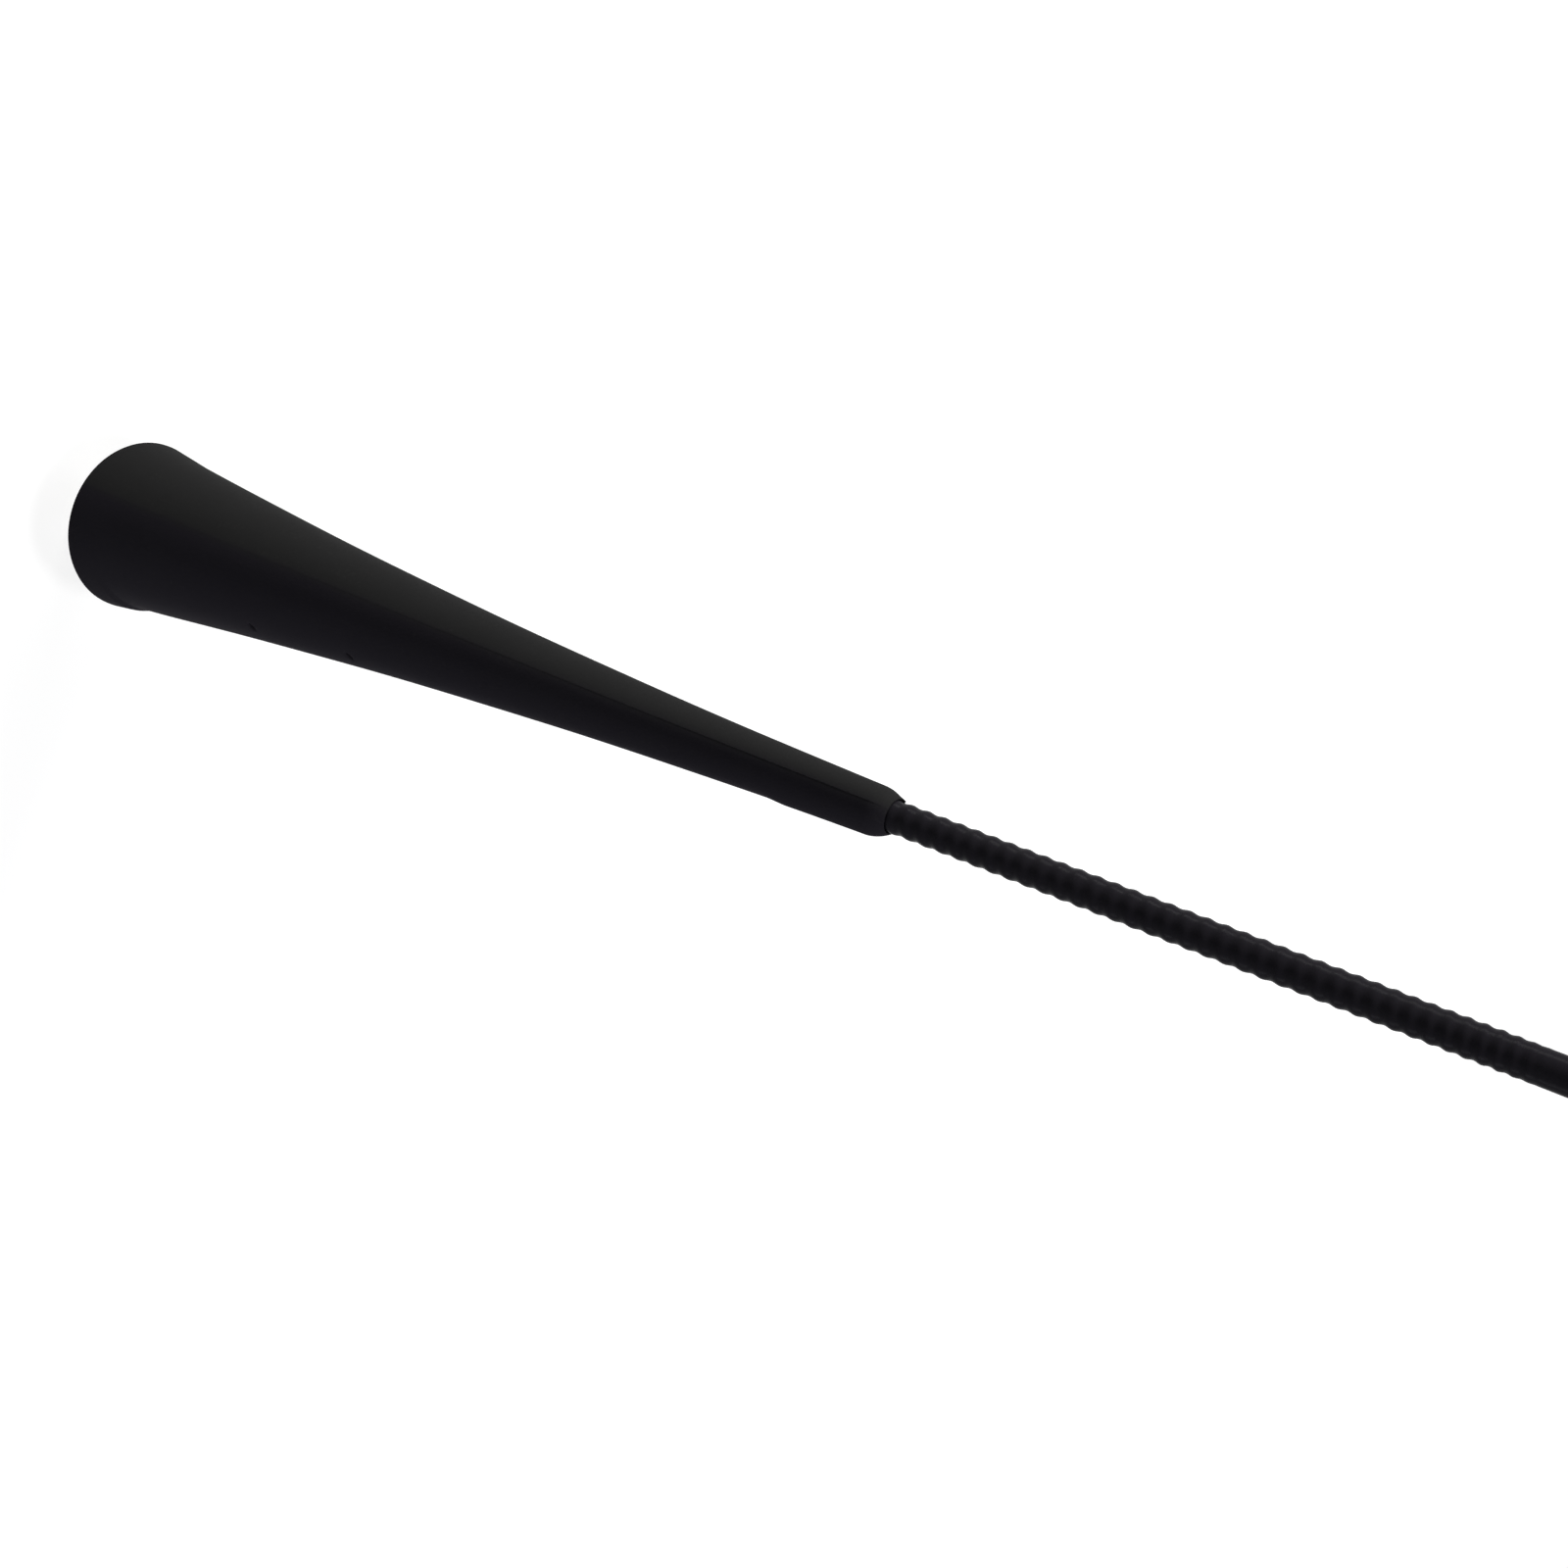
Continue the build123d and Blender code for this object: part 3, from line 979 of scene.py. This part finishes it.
def tin_solder(grain):
    """Dull tin solder with a frosted, wrinkled skin."""
    material, tree, shader = new_material("tin_solder", Metallic=1.0)
    fine = effect(tree, grain, Grain_Size=0.12 * MM, Patch_Size=0.9 * MM, Stretch=1.0)
    feed(tree, shader.inputs["Base Color"], blend_colour(tree, fine["Patches"], tin_dark, tin_bright))
    feed(tree, shader.inputs["Roughness"], spread_over(tree, fine["Patches"], low=0.3, high=0.55))
    raise_grain(tree, shader, fine["Height"], strength=0.4, depth=0.03 * MM)
    return material


# Studio

def seen_directly(tree):
    """1 for what the camera sees, itself or in a reflection or through glass, and 0 for light."""
    path = add(tree, "ShaderNodeLightPath").outputs
    seen = calc(tree, "MAXIMUM", path["Is Camera Ray"], path["Is Glossy Ray"])
    return calc(tree, "MAXIMUM", seen, path["Is Transmission Ray"])


def white_paper():
    """Paper that looks white, keeps the aerial's shadow, and can be seen through from below."""
    material = bpy.data.materials.new("white_paper")
    material.use_nodes = True
    tree = material.node_tree
    tree.nodes.clear()
    paper = add(tree, "ShaderNodeBsdfDiffuse", {"Color": paper_grey})
    place = add(tree, "ShaderNodeTexCoord").outputs["Object"]
    away = add(tree, "ShaderNodeVectorMath", {0: place}, operation="LENGTH").outputs["Value"]
    own_white = ramp(tree, away, shadow_core, shadow_reach, low=floor_glow, high=1.0)
    strength = calc(tree, "MULTIPLY", seen_directly(tree), own_white)
    glow = add(tree, "ShaderNodeEmission", {"Color": white, "Strength": strength})
    lit = add(tree, "ShaderNodeAddShader", {0: paper.outputs[0], 1: glow.outputs[0]})
    below = add(tree, "ShaderNodeNewGeometry").outputs["Backfacing"]
    clear = add(tree, "ShaderNodeBsdfTransparent")
    shown = add(tree, "ShaderNodeMixShader", {0: below, 1: lit.outputs[0], 2: clear.outputs[0]})
    add(tree, "ShaderNodeOutputMaterial", {"Surface": shown.outputs[0]})
    return material


def studio_floor():
    """Pale floor at the height of the stud's tip."""
    directions = ((-1, -1), (1, -1), (1, 1), (-1, 1))
    corners = [(x * floor_half, y * floor_half, stud_tip) for x, y in directions]
    mesh = bpy.data.meshes.new("studio_floor")
    mesh.from_pydata(corners, [], [(0, 1, 2, 3)])
    mesh.materials.append(white_paper())
    floor = bpy.data.objects.new("studio_floor", mesh)
    bpy.context.scene.collection.objects.link(floor)


def studio_world():
    """White surroundings that light the aerial only softly."""
    world = bpy.data.worlds.new("studio")
    world.use_nodes = True
    tree = world.node_tree
    tree.nodes.clear()
    soft = add(tree, "ShaderNodeBackground", {"Color": sky_tint, "Strength": sky_light}).outputs[0]
    plain = add(tree, "ShaderNodeBackground", {"Color": white, "Strength": 1.0}).outputs[0]
    shown = add(tree, "ShaderNodeMixShader", {0: seen_directly(tree), 1: soft, 2: plain})
    add(tree, "ShaderNodeOutputWorld", {"Surface": shown.outputs[0]})
    bpy.context.scene.world = world


def softbox(name, degrees, distance, height, aim, width, length, power, colour):
    """A lamp at an angle round the mast, which faces the height on the mast that it is aimed at."""
    lamp = bpy.data.lights.new(name, "AREA")
    lamp.shape = "RECTANGLE"
    lamp.size = width
    lamp.size_y = length
    lamp.energy = power
    lamp.color = colour
    angle = math.radians(degrees)
    place = Vector((distance * math.cos(angle), distance * math.sin(angle), height))
    box = bpy.data.objects.new(name, lamp)
    facing = Vector((0, 0, aim)) - place
    box.matrix_world = Matrix.Translation(place) @ facing.to_track_quat("-Z", "Y").to_matrix().to_4x4()
    bpy.context.scene.collection.objects.link(box)


def studio_lamps():
    """A tall key light close to one side, a fill across from it, one from behind and one from above."""
    softbox(
        "key", degrees=187, distance=0.24, height=0.29, aim=0.29,
        width=0.06, length=0.6, power=1.15, colour=(1.0, 1.0, 0.98),
    )
    softbox(
        "fill", degrees=355, distance=0.7, height=0.42, aim=0.42,
        width=0.2, length=0.8, power=2.3, colour=(0.92, 0.95, 1.0),
    )
    softbox(
        "back", degrees=90, distance=0.8, height=0.42, aim=0.42,
        width=0.4, length=0.8, power=3.0, colour=(1.0, 1.0, 1.0),
    )
    softbox(
        "top", degrees=270, distance=0.15, height=0.9, aim=0.14,
        width=0.2, length=0.2, power=2.4, colour=(1.0, 1.0, 1.0),
    )


def studio_camera():
    """The photograph's camera: beside the mast above the neck, looking down towards the foot."""
    forward = Vector(
        (
            math.sin(camera_side),
            math.cos(camera_look) * math.cos(camera_side),
            math.sin(camera_look) * math.cos(camera_side),
        )
    )
    level_right = (Vector((0, 0, 1)) - forward * forward.z).normalized()
    level_up = level_right.cross(forward)
    right = level_right * math.cos(camera_roll) + level_up * math.sin(camera_roll)
    up = level_up * math.cos(camera_roll) - level_right * math.sin(camera_roll)
    lens = bpy.data.cameras.new("camera")
    lens.sensor_width = sensor_width
    lens.lens = sensor_width * photo_focal / photo_size
    lens.clip_start = camera_near
    camera = bpy.data.objects.new("camera", lens)
    turned = Matrix((right, up, -forward)).transposed().to_4x4()
    camera.matrix_world = Matrix.Translation(camera_place) @ turned
    bpy.context.scene.collection.objects.link(camera)
    bpy.context.scene.camera = camera


# The object

def dress(name, mesh, node, material=None):
    """A finished piece that replaces a CAD node, with its material if one is given."""
    if material:
        mesh.materials.clear()
        mesh.materials.append(material)
    piece = bpy.data.objects.new(name, mesh)
    bpy.context.scene.collection.objects.link(piece)
    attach(piece, "root")
    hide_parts(node)


def paint_node(node, material):
    """Give a CAD node that stays its own finish."""
    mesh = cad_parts[node].data
    mesh.materials.clear()
    mesh.materials.append(material)


def build_aerial():
    """Dress every piece of the aerial."""
    grain = grain_group()
    dust = dust_group()
    climb_group = climb_tree()
    nickel = nickel_plate(grain)
    sleeve = sheath_sleeve(grain, dust)
    copper = copper_enamel(grain)
    dress("boot", boot_mesh(), "flared_boot", boot_rubber(grain, dust))
    dress("ferrule", ferrule_mesh(nickel), "threaded_ferrule", nickel)
    dress("sheath", sheath_mesh(climb_group, sleeve), "mast_sheath")
    dress("winding", winding_mesh(climb_group, copper), "aerial_winding")
    dress("cap", cap_mesh(), "tip_cap", cap_plastic(grain, dust))
    paint_node("core_rod", glass_rod(grain))
    paint_node("solder_joint", tin_solder(grain))


def build_studio():
    """Floor, surroundings, lamps and camera."""
    bpy.context.scene.view_settings.view_transform = "Standard"
    studio_floor()
    studio_world()
    studio_lamps()
    studio_camera()


build_aerial()
build_studio()
